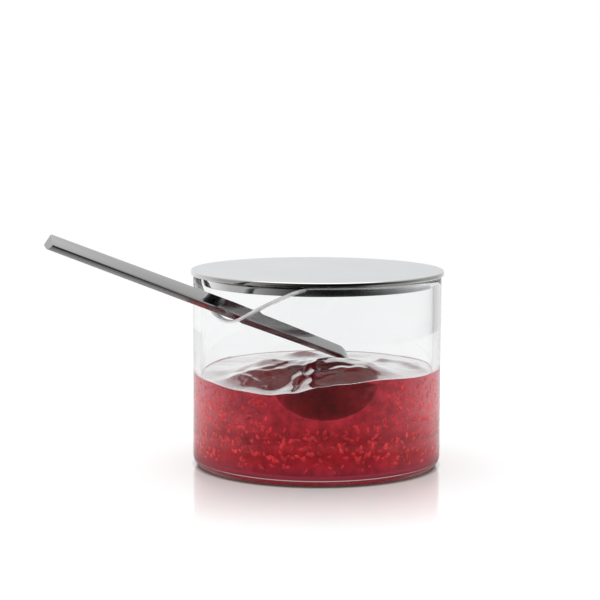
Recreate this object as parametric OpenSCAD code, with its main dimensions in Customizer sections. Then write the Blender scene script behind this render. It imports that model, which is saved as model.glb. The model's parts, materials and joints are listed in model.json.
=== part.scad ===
// Jam pot: a clear glass pot with a dipped rim, a flat steel lid that drops into its mouth,
// and a steel spoon whose handle lies in the dip while its cup hangs in the jam.
// Millimetres. Origin at the centre of the underside, Z up, the dip and the handle towards -X.

/* [Glass pot] */
// Outside diameter of the glass
pot_d = 98; // [90:1:110]
// Height of the rim above the table
pot_h = 75.5; // [70:0.5:90]
// Thickness of the glass wall
wall_t = 3.2; // [2.4:0.1:4]
// Thickness of the glass base
base_t = 2.5; // [2:0.25:5]
// Radius of the outer corner under the wall
foot_r = 3.8; // [2:0.1:6]
// Radius of the inner corner above the base
inner_corner_r = 2.2; // [1.2:0.1:4]
// Rounding of both edges of the rim, as a share of the wall
rim_share = 0.42; // [0.25:0.01:0.46]

/* [Dip in the rim] */
// Depth of the dip below the rim
dip_depth = 14.1; // [11:0.1:16]
// Slope of the straight flanks, in degrees
dip_flank = 28; // [25:1:34]
// Radius of the round bottom of the dip
dip_bottom_r = 14; // [10:1:24]
// Radius of the round shoulders of the dip
dip_shoulder_r = 17.5; // [10:0.5:22]

/* [Lid] */
// Overhang of the lid beyond the glass
lid_overhang = 1; // [0.5:0.1:3]
// Thickness of the lid plate
lid_t = 1.85; // [1.5:0.05:3]
// Polished bevel round the top and bottom edge of the plate
lid_bevel = 0.35; // [0.1:0.05:0.6]
// Height of the locating skirt below the plate
skirt_h = 3.8; // [2.5:0.1:4.5]
// Sheet thickness of the skirt
skirt_t = 0.8; // [0.6:0.1:1.5]
// Width of the flange that is welded under the plate
flange_w = 6; // [3:0.5:12]
// Clearance between the skirt and the glass
skirt_gap = 0.5; // [0.3:0.1:1]

/* [Spoon handle] */
// Slope of the handle at rest, in degrees
handle_slope = 20; // [17:0.5:22]
// Length of the handle outside the dip
handle_out = 92; // [60:1:120]
// Length of the straight handle inside the pot
handle_in = 60.5; // [55:0.5:64]
// Half the width of the handle over its side edges
handle_half_w = 3; // [2:0.1:4]
// Height of the ridge above the side edges
ridge_h = 5.1; // [3:0.1:5.5]
// Depth of the keel below the side edges
keel_h = 1.9; // [1.2:0.1:2.5]
// Width of the small flats on the edges of the handle
edge_flat = 0.4; // [0.2:0.05:0.6]
// Size of the section at the outer end, as a share of the full one
outer_end_share = 0.86; // [0.7:0.01:1]
// Size of the section in the neck, as a share of the full one
neck_share = 0.8; // [0.7:0.01:0.95]
// Radius of the neck's bend, at the side edges
neck_r = 6; // [5:0.25:8]

/* [Spoon cup] */
// Outer radius of the cup's sphere
cup_r = 14.2; // [12:0.1:16]
// Depth of the cup from its rim to the underside of its bottom
cup_depth = 13.8; // [10:0.1:14]
// Sheet thickness of the cup
cup_t = 1; // [0.7:0.1:1.4]
// Drop from the end of the neck's bend to the cup's rim
cup_drop = 4; // [3:0.5:8]
// Length of the neck below the cup's rim
neck_lap = 5; // [3:0.5:6]

/* [Jam] */
// Height of the jam's surface above the cup's rim
cup_cover = 4.9; // [2:0.1:8]
// Height of the stirred heap above that surface
heap_h = 3.6; // [1:0.1:5]
// Radius of the sphere that the heap is a cap of
heap_r = 40; // [25:1:60]
// Clearance between the jam and the glass, and between the jam and the spoon
jam_gap = 0.3; // [0.2:0.05:0.5]

/* [Fits] */
// Clearance between the resting handle and the rounded rim
rest_gap = 0.3; // [0.2:0.05:0.5]

/* [Hidden] */
$fn = 96;

// One overrun for every cut
overrun = 1;
// Thickness of the end slices of a tapered bar
slice_t = 0.01;

// Radii of the glass
pot_r = pot_d/2;
bore_r = pot_r - wall_t;
wall_mid_r = pot_r - wall_t/2;
rim_edge_r = rim_share*wall_t;

// The dip, cut straight in along X and measured across the handle
dip_bottom_half = dip_bottom_r*sin(dip_flank);
dip_shoulder_half = dip_shoulder_r*sin(dip_flank);
dip_rounds_h = (dip_bottom_r + dip_shoulder_r)*(1 - cos(dip_flank));
dip_flank_half = (dip_depth - dip_rounds_h)/tan(dip_flank);
dip_half = dip_bottom_half + dip_flank_half + dip_shoulder_half;
dip_half_angle = asin(dip_half/bore_r);
dip_z = pot_h - dip_depth;
// The drawn-down panel of the wall: its lap into the turned glass and how far its skin lies inside it
panel_lap = wall_t/2;
panel_inset = 0.02;
panel_z = dip_z - 2*wall_t;
panel_half_angle = dip_half_angle + panel_lap/wall_mid_r*180/PI;
panel_steps = 56;
edge_steps = 5;

// The spoon tips on the inner edge of the dip
tip_x = -(bore_r + rim_edge_r);
tip_z = dip_z - rim_edge_r;
axis_lift = rim_edge_r + rest_gap + keel_h;

// Centre of the neck's bend, seen from the side
bend_x = tip_x + handle_in*cos(handle_slope) + (axis_lift - neck_r)*sin(handle_slope);
bend_z = tip_z - handle_in*sin(handle_slope) + (axis_lift - neck_r)*cos(handle_slope);
neck_x = bend_x + neck_r;
cup_rim_z = bend_z - cup_drop;
cup_z = cup_rim_z - cup_depth + cup_r;
cup_rim_r = sqrt(pow(cup_r - cup_t/2, 2) - pow(cup_r - cup_depth, 2));
// The cup's sheet passes through the neck half way between its side edges and its ridge
cup_x = neck_x + neck_share*ridge_h/2 - cup_rim_r;

// The jam fills the glass up to its gap and covers the cup
jam_level = cup_rim_z + cup_cover;
jam_r = bore_r - jam_gap;
jam_corner_r = inner_corner_r - jam_gap;
heap_x = cup_x + cup_r/2;
heap_y = -cup_r/2;

// Height of the dip's edge above its bottom, at a distance to the side of the handle
function dip_rise(s) =
    s < dip_bottom_half ? dip_bottom_r - sqrt(pow(dip_bottom_r, 2) - s*s)
    : s < dip_bottom_half + dip_flank_half
        ? dip_bottom_r*(1 - cos(dip_flank)) + (s - dip_bottom_half)*tan(dip_flank)
    : s < dip_half
        ? dip_depth - dip_shoulder_r + sqrt(pow(dip_shoulder_r, 2) - pow(dip_half - s, 2))
    : dip_depth;

// Radius and height of the points of the quarter round on one edge of the level rim
function rim_round(r, from, to) = [for (i = [0:edge_steps])
    let (a = from + (to - from)*i/edge_steps)
    [r + (rim_edge_r - panel_inset)*cos(a), pot_h - rim_edge_r + (rim_edge_r - panel_inset)*sin(a)]];

// The panel's section at one angle: the level rim lowered into the dip, and its foot in the wall
function panel_section(angle) = concat(
    [[bore_r + panel_inset, panel_z - panel_lap]],
    [for (p = concat(rim_round(bore_r + rim_edge_r, 180, 90), rim_round(pot_r - rim_edge_r, 90, 0)))
        [p[0], p[1] - dip_depth + dip_rise(abs(p[0]*sin(angle)))]],
    [[pot_r - panel_inset, panel_z - panel_lap]]);

// Section of the handle: a kite with a small flat on each edge, grown by a clearance
function kite(share, grow) = [
    [0, share*ridge_h + grow],
    [share*handle_half_w + grow, 0],
    [0, -share*keel_h - grow],
    [-share*handle_half_w - grow, 0]];
function unit(v) = v/norm(v);
function handle_section(share, grow = 0) =
    let (k = kite(share, grow))
    [for (i = [0:3], way = [3, 1]) k[i] + edge_flat*unit(k[(i + way)%4] - k[i])];

// Section of a round vessel with one rounded corner at its foot
module vessel_section(r, z0, z1, corner_r) {
    translate([0, z0 + corner_r])
        square([r, z1 - z0 - corner_r]);
    translate([0, z0])
        square([r - corner_r, corner_r]);
    translate([r - corner_r, z0 + corner_r])
        intersection() {
            circle(corner_r);
            translate([0, -corner_r])
                square([corner_r, corner_r]);
        }
}

// The glass as it is turned, with a level rim
module level_pot() {
    rotate_extrude() {
        difference() {
            vessel_section(pot_r, 0, pot_h - rim_edge_r, foot_r);
            vessel_section(bore_r, base_t, pot_h, inner_corner_r);
        }
        translate([bore_r + rim_edge_r, pot_h - rim_edge_r]) {
            square([wall_t - 2*rim_edge_r, rim_edge_r]);
            intersection() {
                circle(rim_edge_r);
                translate([-rim_edge_r, 0])
                    square([rim_edge_r, rim_edge_r]);
            }
            translate([wall_t - 2*rim_edge_r, 0])
                intersection() {
                    circle(rim_edge_r);
                    square([rim_edge_r, rim_edge_r]);
                }
        }
    }
}

// The sector of the wall that the panel takes up
module dip_sector() {
    reach = 2*pot_r;
    translate([0, 0, panel_z])
        linear_extrude(pot_h - panel_z + overrun)
            polygon([
                [0, 0],
                [-reach*cos(dip_half_angle), reach*sin(dip_half_angle)],
                [-reach, 0],
                [-reach*cos(dip_half_angle), -reach*sin(dip_half_angle)]]);
}

// The wall in that sector, lowered into the dip with its rim rounded all along
module dip_panel() {
    count = len(panel_section(0));
    points = [for (i = [0:panel_steps])
        let (a = panel_half_angle*(2*i/panel_steps - 1))
        for (p = panel_section(a)) [-p[0]*cos(a), p[0]*sin(a), p[1]]];
    sides = [for (i = [0:panel_steps - 1], j = [0:count - 1])
        let (a = i*count + j, b = i*count + (j + 1)%count)
        for (f = [[a, b, a + count], [b, b + count, a + count]]) f];
    first = [for (j = [count - 1:-1:0]) j];
    last = [for (j = [0:count - 1]) panel_steps*count + j];
    polyhedron(points, concat(sides, [first, last]));
}

module glass_pot() {
    color([0.86, 0.92, 0.94, 0.4]) {
        difference() {
            level_pot();
            dip_sector();
        }
        dip_panel();
    }
}

// The straight handle, fullest over the dip and finer towards both ends
module tapered_bar(x0, share0, x1, share1) {
    hull() {
        translate([x0, 0, 0])
            rotate([90, 0, 90])
                linear_extrude(slice_t)
                    polygon(handle_section(share0));
        translate([x1 - slice_t, 0, 0])
            rotate([90, 0, 90])
                linear_extrude(slice_t)
                    polygon(handle_section(share1));
    }
}

// Places its children along the resting handle, with X towards the cup
module along_handle() {
    translate([tip_x, 0, tip_z])
        rotate([0, handle_slope, 0])
            translate([0, 0, axis_lift])
                children();
}

// The neck: the handle's end bent down, and the leg that reaches into the cup
module neck(grow = 0) {
    translate([bend_x, 0, bend_z])
        rotate([90, 0, 0])
            rotate_extrude(angle = 90 - handle_slope)
                translate([neck_r, 0])
                    rotate(-90)
                        polygon(handle_section(neck_share, grow));
    translate([neck_x, 0, cup_rim_z - neck_lap - grow])
        linear_extrude(cup_drop + neck_lap + grow)
            rotate(-90)
                polygon(handle_section(neck_share, grow));
}

module spoon_handle() {
    color([0.75, 0.76, 0.78])
        difference() {
            union() {
                along_handle() {
                    tapered_bar(-handle_out, outer_end_share, 0, 1);
                    tapered_bar(0, 1, handle_in, neck_share);
                }
                neck();
            }
            cup_solid();
        }
}

// Section of the cup: a slice of a spherical sheet with a round lip
module cup_section(grow = 0) {
    rim_drop = cup_r - cup_depth;
    intersection() {
        difference() {
            circle(cup_r + grow);
            circle(cup_r - cup_t - grow);
        }
        translate([0, -cup_r - overrun])
            square([cup_r + overrun, cup_depth + overrun]);
    }
    translate([cup_rim_r, -rim_drop])
        circle(cup_t/2 + grow);
}

module cup_solid(grow = 0) {
    translate([cup_x, 0, cup_z])
        rotate_extrude()
            cup_section(grow);
}

module spoon_cup() {
    color([0.72, 0.73, 0.75])
        cup_solid();
}

module jam_filling() {
    color([0.6, 0.06, 0.09])
        difference() {
            union() {
                rotate_extrude()
                    vessel_section(jam_r, base_t + jam_gap, jam_level, jam_corner_r);
                intersection() {
                    translate([heap_x, heap_y, jam_level + heap_h - heap_r])
                        sphere(heap_r);
                    translate([0, 0, jam_level - heap_h])
                        cylinder(h = 2*heap_h + overrun, r = jam_r);
                }
            }
            cup_solid(jam_gap);
            neck(jam_gap);
            along_handle()
                translate([handle_in - 2*neck_r, 0, 0])
                    rotate([90, 0, 90])
                        linear_extrude(2*neck_r)
                            polygon(handle_section(1, jam_gap));
        }
}

module lid_plate() {
    lid_r = pot_r + lid_overhang;
    color([0.82, 0.83, 0.85])
        translate([0, 0, pot_h])
            rotate_extrude()
                polygon([
                    [0, 0],
                    [lid_r - lid_bevel, 0],
                    [lid_r, lid_bevel],
                    [lid_r, lid_t - lid_bevel],
                    [lid_r - lid_bevel, lid_t],
                    [0, lid_t]]);
}

module lid_skirt() {
    skirt_r = bore_r - skirt_gap;
    bend_r = 2*skirt_t;
    color([0.7, 0.71, 0.73])
        translate([0, 0, pot_h - skirt_h])
            rotate_extrude() {
                translate([skirt_r - skirt_t, 0])
                    square([skirt_t, skirt_h - bend_r]);
                translate([skirt_r - flange_w, skirt_h - skirt_t])
                    square([flange_w - bend_r, skirt_t]);
                translate([skirt_r - bend_r, skirt_h - bend_r])
                    intersection() {
                        difference() {
                            circle(bend_r);
                            circle(bend_r - skirt_t);
                        }
                        square([bend_r, bend_r]);
                    }
            }
}

glass_pot();
jam_filling();
lid_plate();
lid_skirt();
spoon_handle();
spoon_cup();
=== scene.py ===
"""Jam pot for Blender: glass, jam, lid and spoon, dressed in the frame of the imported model."""

import json
import math
import random

import bpy
from bpy.props import FloatProperty, FloatVectorProperty, IntProperty, PointerProperty
from mathutils import Matrix, Vector, noise


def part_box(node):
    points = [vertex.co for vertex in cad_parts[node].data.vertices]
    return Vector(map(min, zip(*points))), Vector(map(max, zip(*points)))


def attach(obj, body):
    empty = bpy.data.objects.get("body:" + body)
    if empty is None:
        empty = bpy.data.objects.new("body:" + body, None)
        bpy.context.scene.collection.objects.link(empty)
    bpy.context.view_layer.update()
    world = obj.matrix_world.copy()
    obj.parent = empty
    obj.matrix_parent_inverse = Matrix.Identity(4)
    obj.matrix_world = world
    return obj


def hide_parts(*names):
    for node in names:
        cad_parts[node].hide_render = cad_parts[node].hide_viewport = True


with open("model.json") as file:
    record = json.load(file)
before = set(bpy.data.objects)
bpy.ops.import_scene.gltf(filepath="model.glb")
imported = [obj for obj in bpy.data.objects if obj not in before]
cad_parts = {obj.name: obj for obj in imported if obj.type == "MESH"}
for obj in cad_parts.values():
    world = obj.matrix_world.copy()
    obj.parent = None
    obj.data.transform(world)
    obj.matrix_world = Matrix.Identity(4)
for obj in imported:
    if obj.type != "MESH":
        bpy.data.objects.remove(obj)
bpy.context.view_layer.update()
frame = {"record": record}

bl_info = {
    "name": "Jam Pot",
    "version": (1, 0, 0),
    "blender": (4, 5, 0),
    "location": "View3D > Sidebar > Jam Pot",
    "description": "Models a glass jam pot with its lid, spoon and jam, and sets it on a studio table",
    "category": "Object",
}

POT_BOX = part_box("glass_pot")
LID_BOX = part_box("lid_plate")
SKIRT_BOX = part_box("lid_skirt")
CUP_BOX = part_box("spoon_cup")
POT_RADIUS = POT_BOX[1][0]
POT_HEIGHT = POT_BOX[1][2]
TIP_AT = Vector(next(j for j in frame["record"]["behaviour"]["joints"] if j["name"] == "spoon_tip")["pos_m"])

# Places closer together than this count as one
HAIR = 0.00001
WHITE = (1, 1, 1, 1)


# Settings

def number(name, description, default, low, high, **kind):
    """A number between two limits, with its unit or subtype."""
    return FloatProperty(name=name, description=description, default=default, min=low, max=high, **kind)


def length(*setting):
    """A size in metres."""
    return number(*setting, unit="LENGTH")


def factor(*setting):
    """A share of another size."""
    return number(*setting, subtype="FACTOR")


def angle(*setting):
    """An angle in radians."""
    return number(*setting, subtype="ANGLE")


def colour(name, description, default):
    """A colour without alpha."""
    return FloatVectorProperty(name=name, description=description, default=default, size=3, min=0, max=1,
                               subtype="COLOR")


class JamPotGlass(bpy.types.PropertyGroup):
    """Sizes and tint of the glass"""
    wall: length("Wall", "Thickness of the glass wall", 0.0032, 0.0015, 0.004)
    base: length("Base", "Thickness of the glass base", 0.0025, 0.002, 0.008)
    foot_radius: length("Foot Radius", "Outer rounding under the wall", 0.0038, 0.001, 0.008)
    corner_radius: length("Corner Radius", "Inner rounding above the base", 0.0022, 0.001, 0.008)
    rim_share: factor("Rim Share", "Rounding of the rim's edges, as a share of the wall", 0.42, 0.2, 0.46)
    dip_depth: length("Dip Depth", "Depth of the dip below the rim", 0.0141, 0.011, 0.016)
    dip_flank: angle("Dip Flank", "Slope of the dip's straight flanks", math.radians(28), 0.35, 0.7)
    dip_bottom: length("Dip Bottom", "Radius of the dip's round bottom", 0.014, 0.01, 0.024)
    dip_shoulder: length("Dip Shoulder", "Radius of the dip's shoulders", 0.0175, 0.01, 0.022)
    tint: colour("Tint", "Colour of the clear glass", (0.992, 0.997, 1.0))


class JamPotJam(bpy.types.PropertyGroup):
    """Level, colours and seeds of the jam"""
    level: length("Level", "Height of the jam's surface before it is stirred", 0.038, 0.02, 0.045)
    mound: length("Mound", "Height of the heap round the spoon's neck", 0.0055, 0, 0.007)
    ripple: length("Ripple", "Height of the folds left by stirring", 0.0004, 0, 0.002)
    seeds: IntProperty(name="Seeds", description="Number of berry seeds near the glass",
                       default=1250, min=1, max=1500)
    seed_length: length("Seed Length", "Length of a berry seed", 0.0024, 0.001, 0.004)
    flesh: colour("Flesh", "Tint of the jam's jelly, seen straight on", (0.64, 0.44, 0.53))
    depth: colour("Depth", "Colour that light keeps in the deep of the jam", (0.83, 0.305, 0.3525))
    # colour of a painted glow in the jam's deep, an emission standing in for light scattered in the pulp
    pulp_painted_glow: colour("Haze", "Colour of the light that the pulp scatters in the deep", (1.0, 0.04, 0.055))
    seed_colour: colour("Seed Colour", "Colour of the seeds", (0.92, 0.078, 0.08))


class JamPotSteel(bpy.types.PropertyGroup):
    """Sizes of the lid, and the finish of lid and spoon"""
    bevel: length("Lid Bevel", "Polished bevel on the lid's edge", 0.00035, 0.0001, 0.0006)
    sheet: length("Skirt Sheet", "Sheet thickness of the lid's skirt", 0.0008, 0.0004, 0.0015)
    flange: length("Flange", "Width of the flange under the lid", 0.006, 0.002, 0.012)
    brushed: colour("Brushed", "Colour of the brushed lid", (0.665, 0.68, 0.7))
    polished: colour("Polished", "Colour of the polished spoon", (0.635, 0.63, 0.615))


class JamPotSpoon(bpy.types.PropertyGroup):
    """Sizes of the spoon"""
    slope: angle("Slope", "Slope of the resting handle", math.radians(20), 0.2, 0.5)
    outside: length("Outside", "Length of the handle outside the dip", 0.092, 0.05, 0.12)
    inside: length("Inside", "Length of the straight handle inside the pot", 0.0605, 0.05, 0.065)
    half_width: length("Half Width", "Half the handle's width", 0.003, 0.002, 0.004)
    ridge: length("Ridge", "Height of the ridge above the side edges", 0.0051, 0.003, 0.0055)
    keel: length("Keel", "Depth of the keel below the side edges", 0.0019, 0.001, 0.0025)
    edge_flat: length("Edge Flat", "Width of the flats on the handle's edges", 0.0004, 0.0002, 0.0006)
    outer_share: factor("Outer Share", "Size of the section at the outer end", 0.86, 0.7, 1)
    neck_share: factor("Neck Share", "Size of the section in the neck", 0.8, 0.7, 0.95)
    lift: length("Lift", "Height of the side edges above the tipping edge", 0.003544, 0.002, 0.005)
    neck_radius: length("Neck Radius", "Radius of the neck's bend", 0.006, 0.005, 0.008)
    leg: length("Leg", "Length of the neck below its bend", 0.009, 0.004, 0.014)
    cup_sheet: length("Cup Sheet", "Sheet thickness of the cup", 0.001, 0.0005, 0.0015)


class JamPotStage(bpy.types.PropertyGroup):
    """Table, light and camera"""
    table_radius: length("Table Radius", "Radius of the white table", 0.42, 0.3, 1.5)
    table: colour("Table", "Colour of the table", (0.97, 0.97, 0.97))
    sky: number("Sky", "Strength of the soft light from all round", 0.9, 0, 2)
    top_light: number("Top Light", "Power of the soft box above", 2.2, 0, 20, unit="POWER")
    lens: number("Lens", "Focal length of the camera in millimetres", 120, 20, 300)


class JamPotSettings(bpy.types.PropertyGroup):
    """All settings of the jam pot"""
    glass: PointerProperty(type=JamPotGlass)
    jam: PointerProperty(type=JamPotJam)
    steel: PointerProperty(type=JamPotSteel)
    spoon: PointerProperty(type=JamPotSpoon)
    stage: PointerProperty(type=JamPotStage)


# Modelling helpers

def clear_bench():
    """Leaves edit mode and selects nothing."""
    if bpy.context.mode != "OBJECT":
        bpy.ops.object.mode_set(mode="OBJECT")
    bpy.ops.object.select_all(action="DESELECT")


def pick(piece):
    """Selects one piece alone."""
    clear_bench()
    piece.select_set(True)
    bpy.context.view_layer.objects.active = piece


def named(name):
    """The piece that was added last, with its name and its place moved into its mesh."""
    piece = bpy.context.object
    piece.name = name
    piece.data.name = name
    bpy.ops.object.transform_apply(location=True, rotation=True, scale=True)
    return piece


def open_skin():
    """Opens the active piece in edit mode with everything selected."""
    bpy.ops.object.mode_set(mode="EDIT")
    bpy.ops.mesh.select_all(action="SELECT")


def extrude(by):
    """Extrudes what is selected."""
    bpy.ops.mesh.extrude_region_move(TRANSFORM_OT_translate={"value": by})


def finish_skin():
    """Merges doubles and turns all faces outwards, then leaves edit mode."""
    bpy.ops.mesh.select_all(action="SELECT")
    bpy.ops.mesh.remove_doubles(threshold=0.000001)
    bpy.ops.mesh.normals_make_consistent(inside=False)
    bpy.ops.object.mode_set(mode="OBJECT")


def arc(centre_r, centre_z, radius, start, end, steps):
    """Points of a quarter round in a profile, from one angle to another in degrees."""
    out = []
    for i in range(steps + 1):
        a = math.radians(start + (end - start) * i / steps)
        out.append((centre_r + radius * math.cos(a), centre_z + radius * math.sin(a)))
    return out


def run(p, q, steps):
    """Points between two profile points, without the first."""
    return [(p[0] + (q[0] - p[0]) * i / steps, p[1] + (q[1] - p[1]) * i / steps) for i in range(1, steps + 1)]


def drawn_from_ring(name, profile, segments, closed_ends=True):
    """A round piece: a circle is extruded and scaled from ring to ring of its profile."""
    clear_bench()
    radius, height = profile[0]
    bpy.ops.mesh.primitive_circle_add(vertices=segments, radius=radius, location=(0, 0, height))
    piece = named(name)
    open_skin()
    for (r0, z0), (r1, z1) in zip(profile, profile[1:]):
        extrude((0, 0, z1 - z0))
        share = r1 / r0
        bpy.ops.transform.resize(value=(share, share, 1), center_override=(0, 0, z1))
    if closed_ends:
        bpy.ops.mesh.merge(type="CENTER")
        bpy.ops.mesh.select_all(action="DESELECT")
        bpy.ops.mesh.select_non_manifold(extend=False)
        extrude((0, 0, 0))
        bpy.ops.mesh.merge(type="CENTER")
    finish_skin()
    return piece


def bevel_edges(piece, width):
    """Breaks the sharp edges of a piece with a small round bevel."""
    pick(piece)
    bevel = piece.modifiers.new("broken_edges", "BEVEL")
    bevel.width = width
    bevel.segments = 2
    bevel.limit_method = "ANGLE"
    bevel.angle_limit = math.radians(28)
    bpy.ops.object.modifier_apply(modifier=bevel.name)


def smooth(piece, degrees):
    """Smooth shading that keeps the edges sharper than an angle."""
    pick(piece)
    bpy.ops.object.shade_smooth_by_angle(angle=math.radians(degrees))


def mark(piece, name, values, domain="POINT"):
    """Gives each point or face of a piece a number that its material reads."""
    piece.data.attributes.new(name, "FLOAT", domain).data.foreach_set("value", values)


def dress(piece, material, body, slot, *nodes):
    """Gives a piece its material, its body and the node that it stands for."""
    piece.data.materials.clear()
    piece.data.materials.append(material)
    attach(piece, body)
    if nodes:
        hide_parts(*nodes)


# Shapes of the pot

# The dip's drawing reaches down the wall by this many times its depth
DIP_REACH = 2.2
# Share of the rim's rounding that is ground and milky, round the mouth and in the dip
GROUND_MOUTH, GROUND_DIP = 0.55, 0.95
# The dip counts as such up to this share of its depth
IN_DIP = 0.95
# Two rings this far apart part the wet glass from the dry
WET_GAP = 0.0001


def dip_rise(glass, s):
    """Height of the dip's edge above its bottom, at a distance to the side of the handle."""
    bottom = glass.dip_bottom * math.sin(glass.dip_flank)
    shoulder = glass.dip_shoulder * math.sin(glass.dip_flank)
    rounds = (glass.dip_bottom + glass.dip_shoulder) * (1 - math.cos(glass.dip_flank))
    flank = (glass.dip_depth - rounds) / math.tan(glass.dip_flank)
    half = bottom + flank + shoulder
    if s < bottom:
        return glass.dip_bottom - math.sqrt(glass.dip_bottom ** 2 - s * s)
    if s < bottom + flank:
        return glass.dip_bottom * (1 - math.cos(glass.dip_flank)) + (s - bottom) * math.tan(glass.dip_flank)
    if s < half:
        return glass.dip_depth - glass.dip_shoulder + math.sqrt(glass.dip_shoulder ** 2 - (half - s) ** 2)
    return glass.dip_depth


def grind_rim(pot, glass):
    """Marks the ground band on top of the rim, before the dip is drawn."""
    rim = glass.rim_share * glass.wall
    ground = []
    for v in pot.data.vertices:
        in_dip = v.co.x < 0 and dip_rise(glass, abs(v.co.y)) < IN_DIP * glass.dip_depth
        ground.append(float(v.co.z > POT_HEIGHT - (GROUND_DIP if in_dip else GROUND_MOUTH) * rim))
    mark(pot, "rim", ground)


def draw_dip(pot, glass):
    """Lowers the wall into the dip, cut straight in along the handle, with the rounded rim carried along."""
    foot = POT_HEIGHT - DIP_REACH * glass.dip_depth
    shoulder = POT_HEIGHT - glass.rim_share * glass.wall
    for v in pot.data.vertices:
        if v.co.x < 0 and v.co.z > foot:
            drop = glass.dip_depth - dip_rise(glass, abs(v.co.y))
            v.co.z -= drop * min(1.0, (v.co.z - foot) / (shoulder - foot))


# Shapes of the jam

# The camera looks at the pot with its dip turned this far to the left of the front
PHOTO_TURN = math.radians(45)
# Height of the jam's creep up the glass, and how far from the glass it starts
CREEP, CREEP_REACH = 0.00025, 0.0006
# Beyond this share of its radius the jam touches the glass
TOUCHING = 0.9999
# Size of the folds to the right and to the back, the slice of noise that they come from, and the size and
# share of the finer ones
FOLD_RIGHT, FOLD_BACK, FOLD_SLICE, FINE_FOLD, FINE_SHARE = 0.017, 0.012, 0.7, 0.006, 0.3
# Radius of the innermost ring of the jam's surface
JAM_EYE = 0.0008
# Heights of the jam's edge on the glass, as (degrees from the left towards the front, height)
JAM_EDGE = (
    (0, 0.0371), (27, 0.0359), (51, 0.0345), (67, 0.0339), (78, 0.035), (92, 0.0375), (101, 0.0384),
    (121, 0.0394), (149, 0.0386), (162, 0.0387), (180, 0.0393), (225, 0.0386), (270, 0.0383), (320, 0.038),
    (360, 0.0371))
# Heaps of the stirred jam as the camera sees them: right, back, half length, reach to the front, reach to
# the back, turn in degrees, share of the mound
JAM_HEAPS = (
    (0.005, -0.01, 0.024, 0.024, 0.013, -6, 1.05),
    (0.022, -0.022, 0.011, 0.014, 0.009, -35, 0.25),
    (-0.02, -0.001, 0.007, 0.01, 0.007, 0, 0.5),
    (-0.029, -0.017, 0.007, 0.007, 0.005, 25, 0.25),
    (-0.0057, 0.0335, 0.006, 0.0035, 0.004, 0, 0.4))
# Crests of the folds that the spoon has drawn: their run over (right, back), their width and their height
JAM_CRESTS = (
    (((-0.016, -0.003), (-0.012, -0.005), (-0.008, -0.004)), 0.0022, 0.0004),
    (((-0.026, -0.014), (-0.02, -0.017), (-0.015, -0.016)), 0.0026, 0.0006),
    (((-0.007, -0.025), (-0.003, -0.027), (0.0, -0.025)), 0.0022, 0.0001),
    (((0.009, -0.026), (0.012, -0.028), (0.016, -0.027)), 0.0022, 0.0005),
    (((-0.036, -0.004), (-0.032, -0.013), (-0.026, -0.024)), 0.0035, 0.0006),
    (((-0.033, 0.012), (-0.028, 0.004), (-0.03, -0.006)), 0.003, 0.0005),
    (((0.0267, 0.0141), (0.031, 0.0088), (0.0352, 0.0036), (0.0392, -0.0042), (0.0431, -0.0118)),
     0.0032, 0.0014),
    (((-0.031, -0.019), (-0.026, -0.021), (-0.023, -0.026)), 0.002, 0.0004),
    (((-0.026, -0.009), (-0.023, -0.012), (-0.018, -0.012)), 0.002, 0.0004),
    (((-0.01, -0.013), (-0.005, -0.015), (0.001, -0.014)), 0.002, 0.0002),
    (((0.013, -0.013), (0.018, -0.014), (0.021, -0.018)), 0.002, 0.0004),
    (((-0.024, 0.012), (-0.018, 0.016), (-0.01, 0.015)), 0.0025, 0.0004))


def as_seen(x, y):
    """A place on the part's floor plan as the camera sees it, to the right and to the back."""
    c, s = math.cos(PHOTO_TURN), math.sin(PHOTO_TURN)
    return x * c - y * s, x * s + y * c


def jam_edge(turn):
    """Height of the jam on the glass at an angle, joined smoothly between the seen places."""
    a = math.degrees(turn) % 360
    for (a0, z0), (a1, z1) in zip(JAM_EDGE, JAM_EDGE[1:]):
        if a <= a1:
            t = (a - a0) / (a1 - a0)
            return z0 + (z1 - z0) * t * t * (3 - 2 * t)
    return JAM_EDGE[-1][1]


def off_line(x, y, p, q):
    """Distance of a place from a straight line between two others."""
    dx, dy = q[0] - p[0], q[1] - p[1]
    t = min(1.0, max(0.0, ((x - p[0]) * dx + (y - p[1]) * dy) / (dx * dx + dy * dy)))
    return math.hypot(x - p[0] - t * dx, y - p[1] - t * dy)


def jam_top(jam, x, y, wall_r):
    """Height of the stirred surface over a place on the part's floor plan."""
    right, back = as_seen(x, y)
    r = math.hypot(x, y) / wall_r
    edge = jam_edge(math.atan2(-back, -right))
    height = jam.level + (edge - jam.level) * r * r * (3 - 2 * r)
    for u, v, half_length, front, behind, turn, share in JAM_HEAPS:
        c, s = math.cos(math.radians(turn)), math.sin(math.radians(turn))
        du, dv = right - u, back - v
        along, across = (c * du + s * dv) / half_length, c * dv - s * du
        # a long slope to the front and a shorter, rounder one behind
        fall = (-across / front) ** 1.5 if across < 0 else (across / behind) ** 2
        height += jam.mound * share * math.exp(-along * along - fall) * (1 - r ** 6)
    for crest, width, rise in JAM_CRESTS:
        near = min(off_line(right, back, p, q) for p, q in zip(crest, crest[1:]))
        height += rise * math.exp(-(near / width) ** 2) * (1 - r ** 6)
    folds = noise.noise(Vector((right / FOLD_RIGHT, back / FOLD_BACK, FOLD_SLICE)))
    folds += FINE_SHARE * noise.noise(Vector((right, back, 0)) / FINE_FOLD)
    height += jam.ripple * folds * (1 - r ** 8)
    return height + CREEP * math.exp((r - 1) * wall_r / CREEP_REACH)


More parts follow.
